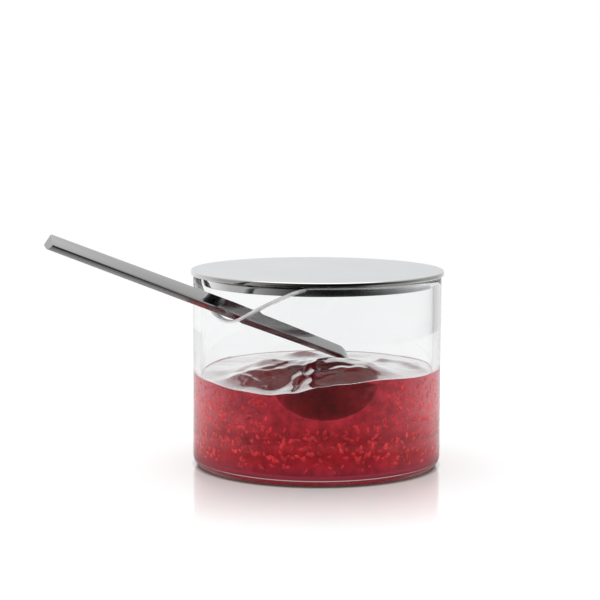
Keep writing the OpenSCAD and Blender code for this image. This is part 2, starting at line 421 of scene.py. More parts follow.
def wet_inside(pot, glass, jam):
    """Fits the rings of the inner wall to the jam's edge and marks the glass that the jam wets."""
    bore = POT_RADIUS - glass.wall
    low, high = glass.base + glass.corner_radius, POT_HEIGHT - DIP_REACH * glass.dip_depth
    wet = []
    for v in pot.data.vertices:
        r = math.hypot(v.co.x, v.co.y)
        inside = v.co.z >= glass.base - HAIR and r <= bore + HAIR
        under = inside and v.co.z < jam.level + HAIR
        wet.append(float(under))
        if inside and r > bore - HAIR and low < v.co.z < high:
            edge = jam_top(jam, v.co.x, v.co.y, bore)
            if under:
                v.co.z = low + (v.co.z - low) * (edge - low) / (jam.level - low)
            else:
                v.co.z = edge + (v.co.z - jam.level) * (high - edge) / (high - jam.level)
    mark(pot, "wet", wet)


# Shader helpers

# Most values of a noise texture lie between these
MIDDLE = (0.3, 0.7)


def feed(tree, made, inputs):
    """Joins or fills inputs of a node; another node stands for its first output."""
    for key, value in inputs.items():
        if isinstance(value, bpy.types.Node):
            value = value.outputs[0]
        if isinstance(value, bpy.types.NodeSocket):
            tree.links.new(value, made.inputs[key])
        else:
            made.inputs[key].default_value = value


def node(tree, kind, inputs=None, **settings):
    """Adds a node, sets its properties and feeds its inputs."""
    made = tree.nodes.new(kind)
    for key, value in settings.items():
        setattr(made, key, value)
    feed(tree, made, inputs or {})
    return made


def maths(tree, operation, *values, **settings):
    """The result of a sum with one or two values."""
    return node(tree, "ShaderNodeMath", dict(enumerate(values)), operation=operation, **settings).outputs[0]


def measured(tree, operation, *vectors):
    """A length or a dot product of vectors."""
    made = node(tree, "ShaderNodeVectorMath", dict(enumerate(vectors)), operation=operation)
    return made.outputs["Value"]


def ranged(tree, value, within=(0.0, 1.0), to=(0.0, 1.0), **settings):
    """Maps a value from one range to another."""
    made = node(tree, "ShaderNodeMapRange", {"Value": value, "From Min": within[0], "From Max": within[1],
                                             "To Min": to[0], "To Max": to[1]}, **settings)
    return made.outputs["Result"]


def stretched(tree, place, scale):
    """A place scaled along each axis."""
    return node(tree, "ShaderNodeVectorMath", {0: place, 1: scale}, operation="MULTIPLY")


def clouds(tree, place, scale, detail, roughness=0.5):
    """Cloudy noise over a place."""
    made = node(tree, "ShaderNodeTexNoise",
                {"Vector": place, "Scale": scale, "Detail": detail, "Roughness": roughness})
    return made.outputs["Fac"]


def ramp(tree, value, stops):
    """A colour that follows a value; each stop is a position with its colour."""
    made = node(tree, "ShaderNodeValToRGB", {"Fac": value})
    elements = made.color_ramp.elements
    elements[0].position, elements[1].position = stops[0][0], stops[-1][0]
    for position, _ in stops[1:-1]:
        elements.new(position)
    for element, (_, shade) in zip(elements, stops):
        element.color = (*shade, 1)
    return made.outputs["Color"]


def toned(shade, share):
    """A colour made darker or lighter, up to white."""
    return tuple(min(1.0, share * c) for c in shade)


def mixed(tree, share, first, second, blend_type="MIX"):
    """A colour mixed from two others."""
    made = node(tree, "ShaderNodeMix", {0: share, 6: first, 7: second},
                data_type="RGBA", blend_type=blend_type)
    return made.outputs[2]


def blend(tree, share, first, second):
    """A shader mixed from two others."""
    return node(tree, "ShaderNodeMixShader", {0: share, 1: first, 2: second})


def attribute(tree, name):
    """The number that a piece is marked with."""
    return node(tree, "ShaderNodeAttribute", attribute_name=name).outputs["Fac"]


def object_place(tree):
    """Object coordinates of a piece."""
    return node(tree, "ShaderNodeTexCoord").outputs["Object"]


def facing_ramp(tree, vector, levels, aside=0.0):
    """Greys by direction, from behind the pot to the camera, or to a place turned aside to its right."""
    front = Vector((-math.cos(PHOTO_TURN + aside), -math.sin(PHOTO_TURN + aside), 0))
    unit = node(tree, "ShaderNodeVectorMath", {0: vector}, operation="NORMALIZE")
    facing = ranged(tree, measured(tree, "DOT_PRODUCT", unit, front), (-1, 1))
    return ramp(tree, facing, [(position, (level,) * 3) for position, level in levels])


def mirrored(tree, path):
    """1 for a ray that a polished face has sent on, 0 for one that comes straight or only through glass."""
    return maths(tree, "MINIMUM", path["Glossy Depth"], 1.0)


def marks_group():
    """Fine marks that wiping leaves: long thin streaks and soft cloudy patches."""
    name = "Wiping Marks"
    if name in bpy.data.node_groups:
        return bpy.data.node_groups[name]
    group = bpy.data.node_groups.new(name, "ShaderNodeTree")
    for label, kind in (("Vector", "Vector"), ("Streak Scale", "Vector"), ("Patch Scale", "Float")):
        group.interface.new_socket(label, in_out="INPUT", socket_type="NodeSocket" + kind)
    for label in ("Streaks", "Patches"):
        group.interface.new_socket(label, in_out="OUTPUT", socket_type="NodeSocketFloat")
    entry = node(group, "NodeGroupInput").outputs
    streaks = clouds(group, stretched(group, entry["Vector"], entry["Streak Scale"]), 1.0, 3.0)
    patches = clouds(group, entry["Vector"], entry["Patch Scale"], 4.0)
    node(group, "NodeGroupOutput", {"Streaks": streaks, "Patches": patches})
    return group


def place_marks(tree, place, streak_scale, patch_scale):
    """Puts the wiping marks in a material and gives their streaks and patches."""
    marks = node(tree, "ShaderNodeGroup", {"Vector": place, "Streak Scale": streak_scale,
                                           "Patch Scale": patch_scale}, node_tree=marks_group())
    return marks.outputs["Streaks"], marks.outputs["Patches"]


def new_material(name):
    """A material with only its Principled shader and output."""
    material = bpy.data.materials.new(name)
    material.use_nodes = True
    tree = material.node_tree
    shader = next(n for n in tree.nodes if n.type == "BSDF_PRINCIPLED")
    output = next(n for n in tree.nodes if n.type == "OUTPUT_MATERIAL")
    return material, tree, shader, output


# Materials

# Painted shade in the glass of the foot, darkest just above the table: height and share of the light that is
# kept
FOOT_PAINTED_SHADE = (
    (0.0, (0.26, 0.4, 0.36)), (0.0018, (0.22, 0.3, 0.28)), (0.0023, (0.23, 0.24, 0.22)),
    (0.0028, (0.27, 0.28, 0.25)), (0.0034, (0.38, 0.45, 0.4)), (0.005, (0.62, 0.8, 0.75)),
    (0.0075, (1.0, 1.0, 1.0)))
# Up to this many times its rounding, the foot is seen from inside as if it had no outer face
CLEAR_FOOT = 1.2
# The glass bends light midway between glass and jam, which count as one lens
GLASS_IOR = 1.43
JELLY_IOR = 1.5
# Fineness of the ground rim's mottling along each axis, and its roughness
GRIT, GROUND_ROUGHNESS = (300, 300, 40), 0.3
# Share of the jam's side that a film of pulp covers
FILM_SHARE = 0.017
# What lies lower than this in the lid counts as its underside, which is darkened with painted shade
UNDERSIDE = 0.00005
# Two finishes of steel: name, tone, least and most roughness
POLISHED = ("polished_steel", 1, 0.05, 0.13)
SATIN = ("satin_steel", 0.8, 0.35, 0.45)


def glass_material(glass):
    """Clear pressed glass with wiping marks, a milky rim and a foot in painted shade; no face shows where the
    jam wets it.
    """
    material, tree, shader, output = new_material("clear_glass")
    place = object_place(tree)
    _, patches = place_marks(tree, place, GRIT, 45)
    height = node(tree, "ShaderNodeSeparateXYZ", {"Vector": place}).outputs["Z"]
    clear_above = FOOT_PAINTED_SHADE[-1][0]
    # the glass of the foot is tinted with painted shade, darkest near the table
    painted_foot_shade = [(z / clear_above, [t * c for t, c in zip(glass.tint, shade)]) for z, shade in FOOT_PAINTED_SHADE]
    rim = attribute(tree, "rim")
    wiped = ranged(tree, patches, (0.5, 0.8), (0.0, 0.015))
    feed(tree, shader, {
        "Base Color": ramp(tree, ranged(tree, height, (0, clear_above)), painted_foot_shade),
        "Metallic": 0,
        "IOR": GLASS_IOR,
        "Transmission Weight": 1,
        "Roughness": maths(tree, "ADD", wiped, maths(tree, "MULTIPLY", rim, GROUND_ROUGHNESS)),
        "Normal": node(tree, "ShaderNodeBump", {"Strength": 0.04, "Distance": 0.0004, "Height": patches}),
    })
    milk = node(tree, "ShaderNodeBsdfDiffuse", {"Color": (0.95, 0.96, 0.97, 1)})
    grit = clouds(tree, stretched(tree, place, GRIT), 1.0, 3.0)
    milky = maths(tree, "MULTIPLY", rim, ranged(tree, grit, MIDDLE, (0.4, 0.7)))
    body = blend(tree, milky, shader, milk)
    # shadows and the light in the pot pass straight through, and so does all light where jam or table touches
    path = node(tree, "ShaderNodeLightPath").outputs
    soft = maths(tree, "MAXIMUM", path["Is Shadow Ray"], path["Is Diffuse Ray"])
    low = maths(tree, "LESS_THAN", height, CLEAR_FOOT * glass.foot_radius)
    foot = maths(tree, "MULTIPLY", low, node(tree, "ShaderNodeNewGeometry").outputs["Backfacing"])
    touched = maths(tree, "MAXIMUM", attribute(tree, "wet"), foot)
    through = maths(tree, "MAXIMUM", soft, touched)
    feed(tree, output, {"Surface": blend(tree, through, body, node(tree, "ShaderNodeBsdfTransparent"))})
    return material


def jam_material(jam):
    """Berry jelly clouded with pulp: its depth keeps only red light, and its open face is wet and glossy."""
    material, tree, shader, output = new_material("berry_jam")
    place = object_place(tree)
    pulp = clouds(tree, place, 190.0, 5.0, 0.6)
    grains = node(tree, "ShaderNodeTexVoronoi", {"Vector": place, "Scale": 420.0}).outputs["Distance"]
    flesh = ramp(tree, pulp, ((0.32, toned(jam.flesh, 0.66)), (0.68, toned(jam.flesh, 1.3))))
    lumps = maths(tree, "ADD", grains, pulp)
    bump = node(tree, "ShaderNodeBump", {"Strength": 0.05, "Distance": 0.0004, "Height": lumps})
    deep = mixed(tree, 1.0, flesh, (0.38, 0.055, 0.06, 1), "MULTIPLY")
    feed(tree, shader, {
        "Base Color": deep,
        "Metallic": 0,
        "IOR": JELLY_IOR,
        "Transmission Weight": 0.3,
        "Roughness": ranged(tree, pulp, MIDDLE, (0.02, 0.08)),
        "Coat Weight": 1,
        "Coat IOR": 2.0,
        "Coat Roughness": 0.03,
        "Normal": bump,
    })
    facing = node(tree, "ShaderNodeLayerWeight", {"Blend": 0.5}).outputs["Facing"]
    wet = node(tree, "ShaderNodeBsdfGlossy", {"Color": WHITE, "Roughness": 0.03, "Normal": bump})
    open_face = blend(tree, ranged(tree, facing, (0.66, 0.86), (0.0, 0.75)), shader, wet)
    # glass and jelly bend light alike, so no face shows where they touch
    # towards its sides the filling gets thin and pale
    pale = mixed(tree, ranged(tree, facing, (0.1, 0.28)), flesh, (0.86, 0.93, 0.95, 1))
    clear = node(tree, "ShaderNodeBsdfTransparent", {"Color": pale})
    film = node(tree, "ShaderNodeBsdfDiffuse", {"Color": (0.9, 0.85, 0.83, 1)})
    touching = blend(tree, FILM_SHARE, clear, film)
    # a faint even painted glow in the jam's deep stands in for light scattered over and over in the pulp
    depth = node(tree, "ShaderNodeVolumeAbsorption", {"Color": (*jam.depth, 1), "Density": 40.0})
    pulp_painted_glow = node(tree, "ShaderNodeEmission", {"Color": (*jam.pulp_painted_glow, 1), "Strength": 2.5})
    feed(tree, output, {"Surface": blend(tree, attribute(tree, "open"), touching, open_face),
                        "Volume": node(tree, "ShaderNodeAddShader", {0: depth, 1: pulp_painted_glow})})
    return material


def seed_material(jam):
    """Red seeds with a faint painted glow in the jelly; their edges fade, and their flat backs can't be seen.
    """
    material, tree, shader, output = new_material("berry_seeds")
    cells = clouds(tree, object_place(tree), 260.0, 2.0)
    husk = ramp(tree, cells, ((0.35, toned(jam.seed_colour, 0.55)), (0.65, jam.seed_colour)))
    # the seeds' colour is also given to them as a faint painted glow
    feed(tree, shader, {"Base Color": husk, "Emission Color": husk, "Emission Strength": 0.54,
                        "Roughness": ranged(tree, cells, to=(0.3, 0.5))})
    facing = node(tree, "ShaderNodeLayerWeight", {"Blend": 0.5}).outputs["Facing"]
    backs = node(tree, "ShaderNodeNewGeometry").outputs["Backfacing"]
    away = maths(tree, "MAXIMUM", backs, attribute(tree, "inner"))
    gone = maths(tree, "MAXIMUM", away, ranged(tree, facing, (0.1, 0.75), (0.1, 1.0)))
    feed(tree, output, {"Surface": blend(tree, gone, shader, node(tree, "ShaderNodeBsdfTransparent"))})
    return material


def lid_material(steel):
    """Steel with a straight brushed top, a polished edge and an underside darkened with painted shade."""
    material, tree, shader, _ = new_material("brushed_lid")
    place = object_place(tree)
    streaks, patches = place_marks(tree, place, (30, 3200, 3200), 28)
    apart = node(tree, "ShaderNodeSeparateXYZ", {"Vector": place}).outputs
    flat = node(tree, "ShaderNodeCombineXYZ", {"X": apart["X"], "Y": apart["Y"]})
    radius, low, high, bevel = LID_BOX[1][0], LID_BOX[0][2], LID_BOX[1][2], steel.bevel
    far = measured(tree, "LENGTH", flat)
    flat_part = ranged(tree, far, (radius - 1.5 * bevel, radius - 0.8 * bevel), (1.0, 0.0))
    upper = ranged(tree, apart["Z"], (low + bevel, high - bevel))
    top = maths(tree, "MULTIPLY", flat_part, upper)
    # the underside's steel is darkened to a third of its colour, as painted shade
    below = maths(tree, "LESS_THAN", apart["Z"], low + UNDERSIDE)
    under = mixed(tree, below, (*steel.polished, 1), (*toned(steel.polished, 0.33), 1))
    darker, lighter = toned(steel.brushed, 0.94), toned(steel.brushed, 1.03)
    brushed = ramp(tree, streaks, ((MIDDLE[0], darker), (MIDDLE[1], lighter)))
    worn = ranged(tree, patches, MIDDLE, (0.26, 0.36))
    grooves = maths(tree, "MULTIPLY", streaks, top)
    feed(tree, shader, {
        "Base Color": mixed(tree, top, under, brushed),
        "Metallic": 1,
        "Roughness": node(tree, "ShaderNodeMix", {"A": 0.07, "B": worn, "Factor": top}, data_type="FLOAT"),
        "Normal": node(tree, "ShaderNodeBump", {"Strength": 0.12, "Distance": 0.0001, "Height": grooves}),
    })
    return material


def steel_material(steel, name, tone, smoothest, roughest):
    """Steel with hairline marks along the handle, from polished to satin."""
    if name in bpy.data.materials:
        return bpy.data.materials[name]
    material, tree, shader, _ = new_material(name)
    streaks, patches = place_marks(tree, object_place(tree), (50, 2400, 2400), 55)
    darker, lighter = toned(steel.polished, 0.95 * tone), toned(steel.polished, 1.04 * tone)
    feed(tree, shader, {
        "Base Color": ramp(tree, patches, ((MIDDLE[0], darker), (MIDDLE[1], lighter))),
        "Metallic": 1,
        "Roughness": ranged(tree, streaks, MIDDLE, (smoothest, roughest)),
        "Normal": node(tree, "ShaderNodeBump", {"Strength": 0.04, "Distance": 0.0001, "Height": streaks}),
    })
    return material


# Pieces

class JAMPOT_OT_glass(bpy.types.Operator):
    """Draw the glass pot up from its foot, over its rim and down to its floor, with the dip for the spoon"""
    bl_idname = "jampot.glass"
    bl_label = "Glass Pot"

    def execute(self, context):
        glass = context.scene.jam_pot.glass
        jam = context.scene.jam_pot.jam
        foot, corner = glass.foot_radius, glass.corner_radius
        bore, rim = POT_RADIUS - glass.wall, glass.rim_share * glass.wall
        floor_r = bore - corner
        profile = arc(POT_RADIUS - foot, foot, foot, -90, 0, steps=10)
        profile += run(profile[-1], (POT_RADIUS, POT_HEIGHT - rim), steps=24)
        profile += arc(POT_RADIUS - rim, POT_HEIGHT - rim, rim, 0, 90, steps=8)[1:]
        profile += arc(bore + rim, POT_HEIGHT - rim, rim, 90, 180, steps=8)
        profile += run(profile[-1], (bore, jam.level + WET_GAP), steps=18)
        profile += [(bore, jam.level)]
        profile += run(profile[-1], (bore, glass.base + corner), steps=8)
        profile += arc(floor_r, glass.base + corner, corner, 0, -90, steps=10)[1:]
        profile += run(profile[-1], (0.2 * floor_r, glass.base), steps=6)
        pot = drawn_from_ring("glass_pot_clear", profile, segments=240)
        wet_inside(pot, glass, jam)
        grind_rim(pot, glass)
        draw_dip(pot, glass)
        smooth(pot, degrees=40)
        dress(pot, glass_material(glass), "pot", "clear_glass", "glass_pot")
        return {"FINISHED"}


class JAMPOT_OT_jam(bpy.types.Operator):
    """Fill the pot with jam and leave its surface stirred, heaped round the spoon's neck"""
    bl_idname = "jampot.jam"
    bl_label = "Jam"

    def execute(self, context):
        jam = context.scene.jam_pot.jam
        glass = context.scene.jam_pot.glass
        wall_r, corner = POT_RADIUS - glass.wall, glass.corner_radius
        low = glass.base + corner
        profile = arc(wall_r - corner, low, corner, -90, 0, steps=8)
        profile += run(profile[-1], (wall_r, jam.level), steps=12)
        profile += run(profile[-1], (JAM_EYE, jam.level), steps=84)
        filling = drawn_from_ring("jam_berry", profile, segments=288)
        is_open = []
        for v in filling.data.vertices:
            inner = math.hypot(v.co.x, v.co.y) < TOUCHING * wall_r
            risen = v.co.z > low + HAIR
            if risen:
                top = jam_top(jam, v.co.x, v.co.y, wall_r)
                v.co.z = top if inner else low + (v.co.z - low) * (top - low) / (jam.level - low)
            is_open.append(float(risen and inner))
        mark(filling, "open", is_open)
        smooth(filling, degrees=50)
        dress(filling, jam_material(jam), "pot", "jam", "jam_filling")
        return {"FINISHED"}


# Shape of a seed of length 2: taper of one end, half width, bend to the side and height of the half
SEED_TAPER, SEED_WIDTH, SEED_BEND, SEED_HEIGHT = 0.3, 0.62, 0.1, 0.5
# Least distance of a seed from the glass, mean distance beyond that, and radius of the core that stays free
SEED_INSET, SEED_SPREAD, SEED_CORE = 0.001, 0.005, 0.02
# Room left above the base and below the surface, used share of the height between, and crowding upwards
SEED_FLOOR, SEED_CEILING, SEED_REACH, SEED_CROWDING = 0.002, 0.0025, 0.96, 0.85
# Share of the inner rounding above the base that stays free at the wall
SEED_CORNER = 0.6
# No seed lies in front of the spoon's cup: the middle, half width and lower end of that window
CUP_MIDDLE, CUP_HALF, CUP_ABOVE = 0.003, 0.021, 0.021
# How the seeds differ: share of their length, and tilt out of the glass's surface in radians
SEED_SIZES, SEED_TILT = (0.75, 1.35), 0.4
# Start of the random draws, and how many tries a seed may take
SEED_DRAW, SEED_TRIES = 12, 20


def half_seed():
    """The outward half of a berry seed: half a ball, narrowed to one end, flattened and bent."""
    clear_bench()
    bpy.ops.mesh.primitive_uv_sphere_add(segments=8, ring_count=6, radius=1, location=(0, 0, 0))
    seed = named("jam_seeds")
    open_skin()
    bpy.ops.mesh.bisect(plane_co=(0, 0, 0), plane_no=(0, 0, 1), clear_inner=True, use_fill=True)
    finish_skin()
    for v in seed.data.vertices:
        narrow = 1 - SEED_TAPER * max(0.0, v.co.x)
        v.co.y = SEED_WIDTH * narrow * v.co.y + SEED_BEND * (1 - v.co.x * v.co.x)
        v.co.z *= SEED_HEIGHT * narrow
    return seed


def seed_place(jam, glass, chance):
    """Draws the place, turn and size of a seed near the glass, or nothing where no seed may lie."""
    wall_r = POT_RADIUS - glass.wall
    turn = chance.uniform(0, 2 * math.pi)
    inset = SEED_INSET + chance.expovariate(1 / SEED_SPREAD)
    r = wall_r - inset
    if r < SEED_CORE:
        return None
    x, y = r * math.cos(turn), r * math.sin(turn)
    low, high = glass.base + SEED_FLOOR, jam_top(jam, x, y, wall_r) - SEED_CEILING
    z = low + (high - low) * chance.random() ** SEED_CROWDING * SEED_REACH
    in_corner = r > wall_r - glass.corner_radius and z < glass.base + SEED_CORNER * glass.corner_radius
    right, back = as_seen(x, y)
    hides_cup = back < 0 and abs(right - CUP_MIDDLE) < CUP_HALF and z > CUP_ABOVE
    if z > high or in_corner or hides_cup:
        return None
    size = 0.5 * jam.seed_length * chance.uniform(*SEED_SIZES)
    outwards = Matrix.Rotation(turn, 4, "Z") @ Matrix.Rotation(math.pi / 2, 4, "Y")
    tilt = Matrix.Rotation(chance.uniform(-SEED_TILT, SEED_TILT), 4, "X")
    spin = Matrix.Rotation(chance.uniform(0, 2 * math.pi), 4, "Z")
    lie = outwards @ tilt @ spin
    return Matrix.Translation((x, y, z)) @ lie @ Matrix.Scale(size, 4)


class JAMPOT_OT_seeds(bpy.types.Operator):
    """Model the outward half of one berry seed and strew copies of it through the jam near the glass"""
    bl_idname = "jampot.seeds"
    bl_label = "Berry Seeds"

    def execute(self, context):
        jam = context.scene.jam_pot.jam
        glass = context.scene.jam_pot.glass
        seed = half_seed()
        points = [v.co.copy() for v in seed.data.vertices]
        faces = [tuple(p.vertices) for p in seed.data.polygons]
        flats = [float(p.normal.z < -0.9) for p in seed.data.polygons]
        chance = random.Random(SEED_DRAW)
        places = []
        tries = SEED_TRIES * jam.seeds
        while len(places) < jam.seeds and tries:
            tries -= 1
            place = seed_place(jam, glass, chance)
            if place is not None:
                places.append(place)
        if not places:
            raise RuntimeError("no seed found a place in the jam")
        all_points = [place @ p for place in places for p in points]
        all_faces = [[i + n * len(points) for i in f] for n in range(len(places)) for f in faces]
        seed.data.clear_geometry()
        seed.data.from_pydata(all_points, [], all_faces)
        mark(seed, "inner", flats * len(places), "FACE")
        smooth(seed, degrees=180)
        dress(seed, seed_material(jam), "pot", "jam")
        return {"FINISHED"}


class JAMPOT_OT_lid(bpy.types.Operator):
    """Turn the flat lid with its polished bevel, and the skirt that drops into the pot's mouth"""
    bl_idname = "jampot.lid"
    bl_label = "Lid"

    def execute(self, context):
        steel = context.scene.jam_pot.steel
        bevel, sheet = steel.bevel, steel.sheet
        lid_r, low, high = LID_BOX[1][1], LID_BOX[0][2], LID_BOX[1][2]
        # rings within the flat faces keep their shading even
        profile = [(0.3 * lid_r, low), (lid_r - bevel, low), (lid_r, low + bevel), (lid_r, high - bevel),
                   (lid_r - bevel, high), (lid_r - 4 * bevel, high), (0.6 * lid_r, high), (0.2 * lid_r, high)]
        plate = drawn_from_ring("lid_plate_brushed", profile, segments=256)
        bevel_edges(plate, width=0.00009)
        smooth(plate, degrees=20)
        dress(plate, lid_material(steel), "lid", "brushed_lid", "lid_plate")
        skirt_r, foot, top = SKIRT_BOX[1][0], SKIRT_BOX[0][2], SKIRT_BOX[1][2]
        bend, flange_r = 2 * sheet, skirt_r - steel.flange
        profile = [(flange_r, top - sheet)]
        profile += run(profile[-1], (skirt_r - bend, top - sheet), steps=2)
        profile += arc(skirt_r - bend, top - bend, bend - sheet, 90, 0, steps=6)[1:]
        profile += [(skirt_r - sheet, foot), (skirt_r, foot), (skirt_r, top - bend - 0.5 * sheet)]
        profile += arc(skirt_r - bend, top - bend, bend, 0, 90, steps=8)
        profile += [(flange_r, top), (flange_r, top - sheet)]
        skirt = drawn_from_ring("lid_skirt_polished", profile, segments=256, closed_ends=False)
        bevel_edges(skirt, width=0.0001)
        smooth(skirt, degrees=20)
        dress(skirt, steel_material(steel, *POLISHED), "lid", "polished_steel", "lid_skirt")
        return {"FINISHED"}


def handle_section(spoon, share):
    """Points of the handle's section, across and up: a kite with a small flat on each edge."""
    corners = [Vector((0, share * spoon.ridge)), Vector((share * spoon.half_width, 0)),
               Vector((0, -share * spoon.keel)), Vector((-share * spoon.half_width, 0))]
    out = []
    for i, corner in enumerate(corners):
        for way in (3, 1):
            out.append(corner + spoon.edge_flat * (corners[(i + way) % 4] - corner).normalized())
    return out


def draw_handle(spoon):
    """The handle: its section extruded along the slope, spun through the neck's bend and led into the cup."""
    along = Vector((math.cos(spoon.slope), 0, -math.sin(spoon.slope)))
    up = Vector((math.sin(spoon.slope), 0, math.cos(spoon.slope)))
    over_rim = TIP_AT + spoon.lift * up
    start = over_rim - spoon.outside * along
    clear_bench()
    bpy.ops.mesh.primitive_circle_add(vertices=8, radius=spoon.half_width)
    handle = named("spoon_handle_ridged")
    for v, (side, height) in zip(handle.data.vertices, handle_section(spoon, spoon.outer_share)):
        v.co = start + side * Vector((0, 1, 0)) + height * up
    open_skin()
    bpy.ops.mesh.edge_face_add()
    at, share = start, spoon.outer_share
    for place, to in ((over_rim, 1.0), (over_rim + spoon.inside * along, spoon.neck_share)):
        extrude(place - at)
        bpy.ops.transform.resize(value=(to / share,) * 3, center_override=place)
        at, share = place, to
    bend = at - spoon.neck_radius * up
    bpy.ops.mesh.spin(steps=14, angle=math.pi / 2 - spoon.slope, center=bend, axis=(0, -1, 0))
    extrude((0, 0, -spoon.leg))
    finish_skin()
    return handle


def raise_cup(spoon):
    """The cup: a sphere cut level below its lip, given its sheet thickness inwards."""
    low, high = CUP_BOX
    radius = (high[0] - low[0]) / 2
    centre = ((low[0] + high[0]) / 2, (low[1] + high[1]) / 2, low[2] + radius)
    clear_bench()
    bpy.ops.mesh.primitive_uv_sphere_add(segments=96, ring_count=48, radius=radius, location=centre)
    cup = named("spoon_cup_round")
    open_skin()
    bpy.ops.mesh.bisect(plane_co=(0, 0, high[2] - spoon.cup_sheet / 2), plane_no=(0, 0, 1), clear_outer=True)
    finish_skin()
    sheet = cup.modifiers.new("sheet", "SOLIDIFY")
    sheet.thickness = spoon.cup_sheet
    sheet.offset = -1
    bpy.ops.object.modifier_apply(modifier=sheet.name)
    return cup


class JAMPOT_OT_spoon(bpy.types.Operator):
    """Draw the ridged handle from its outer end to its bent neck, and raise the round cup"""
    bl_idname = "jampot.spoon"
    bl_label = "Spoon"

    def execute(self, context):
        spoon = context.scene.jam_pot.spoon
        steel = context.scene.jam_pot.steel
        handle = draw_handle(spoon)
        bevel_edges(handle, width=0.00006)
        smooth(handle, degrees=20)
        dress(handle, steel_material(steel, *POLISHED), "spoon", "polished_steel", "spoon_handle")
        cup = raise_cup(spoon)
        bevel_edges(cup, width=0.0003)
        smooth(cup, degrees=40)
        dress(cup, steel_material(steel, *SATIN), "spoon", "polished_steel", "spoon_cup")
        return {"FINISHED"}


# Stage

# The table lies this far below the foot, so that the two faces stay apart
TABLE_GAP = 0.0003
# The soft box above the pot
SOFT_BOX_AT, SOFT_BOX_SIZE = (0.1, 0.1, 0.9), 0.9
# The camera's place before it is turned to the photo's side, and its aim in degrees
CAMERA_AT = (0, -0.7854, 0.15854)
CAMERA_YAW, CAMERA_DOWN, CAMERA_ROLL = 0.494, 6.785, 0.249
# The darkest of the room lies this far to the right of the camera's line
ROOM_TURN = math.radians(20)
# Greys that polished steel mirrors, from behind the pot (0) to the front (1): the room, and the table in
# painted shade
ROOM_GREYS = (
    (0.0, 1.0), (0.07, 0.88), (0.27, 0.5), (0.5, 0.42), (0.75, 0.17), (0.885, 0.035), (0.98, 0.002),
    (1.0, 0.0))
TABLE_GREYS = ((0.0, 0.95), (0.3, 0.9), (0.6, 0.5), (0.78, 0.42), (0.9, 0.05), (1.0, 0.02))
# How much the table is lifted for the camera, and how strongly it mirrors the foot
TABLE_LIFT, MIRROR_SHARE = 0.16, 0.45
# Distances from the pot's middle on the table: the painted contact shadow under the foot, the fading of the
# mirror image, the edge of the painted red glow under the jam, and its fading outside, to the sides and to
# the front
PAINTED_CONTACT_SHADOW = (0.0472, 0.0498)
MIRROR_FADE = (0.04, 0.16)
PAINTED_GLOW_EDGE = (0.0475, 0.05)
PAINTED_GLOW_FADE = (0.05, 0.12)
PAINTED_GLOW_SIDES = (0.028, 0.046)
PAINTED_GLOW_FRONT = (0.025, 0.047)


def white_face(tree, stage, place, far, path):
    """The table as the camera sees it: white, with a painted contact shadow and a mirror image round the
    pot's foot.
    """
    # a dark ring painted round the foot stands in for its contact shadow
    table_and_painted_shadow = mixed(tree, ranged(tree, far, PAINTED_CONTACT_SHADOW), (0.1, 0.12, 0.1, 1), (*stage.table, 1))
    matt = node(tree, "ShaderNodeBsdfDiffuse", {"Color": table_and_painted_shadow})
    # the table is lifted to white for the camera alone, so that only the shadow near the pot stays
    lift = maths(tree, "MULTIPLY", path["Is Camera Ray"], TABLE_LIFT)
    glow = node(tree, "ShaderNodeEmission", {"Color": table_and_painted_shadow, "Strength": lift})
    lit = node(tree, "ShaderNodeAddShader", {0: matt, 1: glow})
    speckle = ranged(tree, clouds(tree, place, 30.0, 2.0), to=(0.05, 0.09))
    gloss = node(tree, "ShaderNodeBsdfGlossy", {"Color": WHITE, "Roughness": speckle})
    mirror = ranged(tree, far, MIRROR_FADE, (MIRROR_SHARE, 0.0), interpolation_type="SMOOTHSTEP")
    return blend(tree, mirror, lit, gloss)


def painted_red_glow_face(tree, place, far):
    """The table as glass and jam show it: a painted red glow under the pot, standing in for light through the
    jam, paler further out.
    """
    c, s = math.cos(PHOTO_TURN), math.sin(PHOTO_TURN)
    aside = maths(tree, "ABSOLUTE", measured(tree, "DOT_PRODUCT", place, (c, -s, 0)))
    ahead = measured(tree, "DOT_PRODUCT", place, (-c, -s, 0))
    # a red glow is painted under the pot, standing in for light that passes through the jam
    under = mixed(tree, ranged(tree, aside, PAINTED_GLOW_SIDES), (0.5, 0.05, 0.08, 1), (0.75, 0.4, 0.4, 1))
    painted_glow_further_out = mixed(tree, ranged(tree, far, PAINTED_GLOW_FADE), (0.5, 0.14, 0.16, 1), WHITE)
    # the foot bends the view forwards, so the painted glow reaches a little further to the front
    nearer = ranged(tree, ahead, (0.0, 0.04), (0.0, 0.005))
    outside = ranged(tree, maths(tree, "SUBTRACT", far, nearer), PAINTED_GLOW_EDGE)
    return node(tree, "ShaderNodeEmission", {"Color": mixed(tree, outside, under, painted_glow_further_out),
                                             "Strength": ranged(tree, ahead, PAINTED_GLOW_FRONT, (1.0, 0.35))})


def table_material(stage):
    """White table top, in painted grey shade where polished steel mirrors it, and with a painted red glow
    through glass and jam.
    """
    material, tree, shader, output = new_material("white_table")
    tree.nodes.remove(shader)
    place = object_place(tree)
    far = measured(tree, "LENGTH", place)
    path = node(tree, "ShaderNodeLightPath").outputs
    # the table that polished steel mirrors is painted in grey shade, darker towards the front
    grey = node(tree, "ShaderNodeBsdfDiffuse", {"Color": facing_ramp(tree, place, TABLE_GREYS)})
    sent_on = mirrored(tree, path)
    plain = blend(tree, sent_on, white_face(tree, stage, place, far, path), grey)
    straight = maths(tree, "SUBTRACT", 1.0, sent_on)
    through = maths(tree, "MULTIPLY", path["Transmission Depth"], straight, use_clamp=True)
    feed(tree, output, {"Surface": blend(tree, through, plain, painted_red_glow_face(tree, place, far))})
    return material


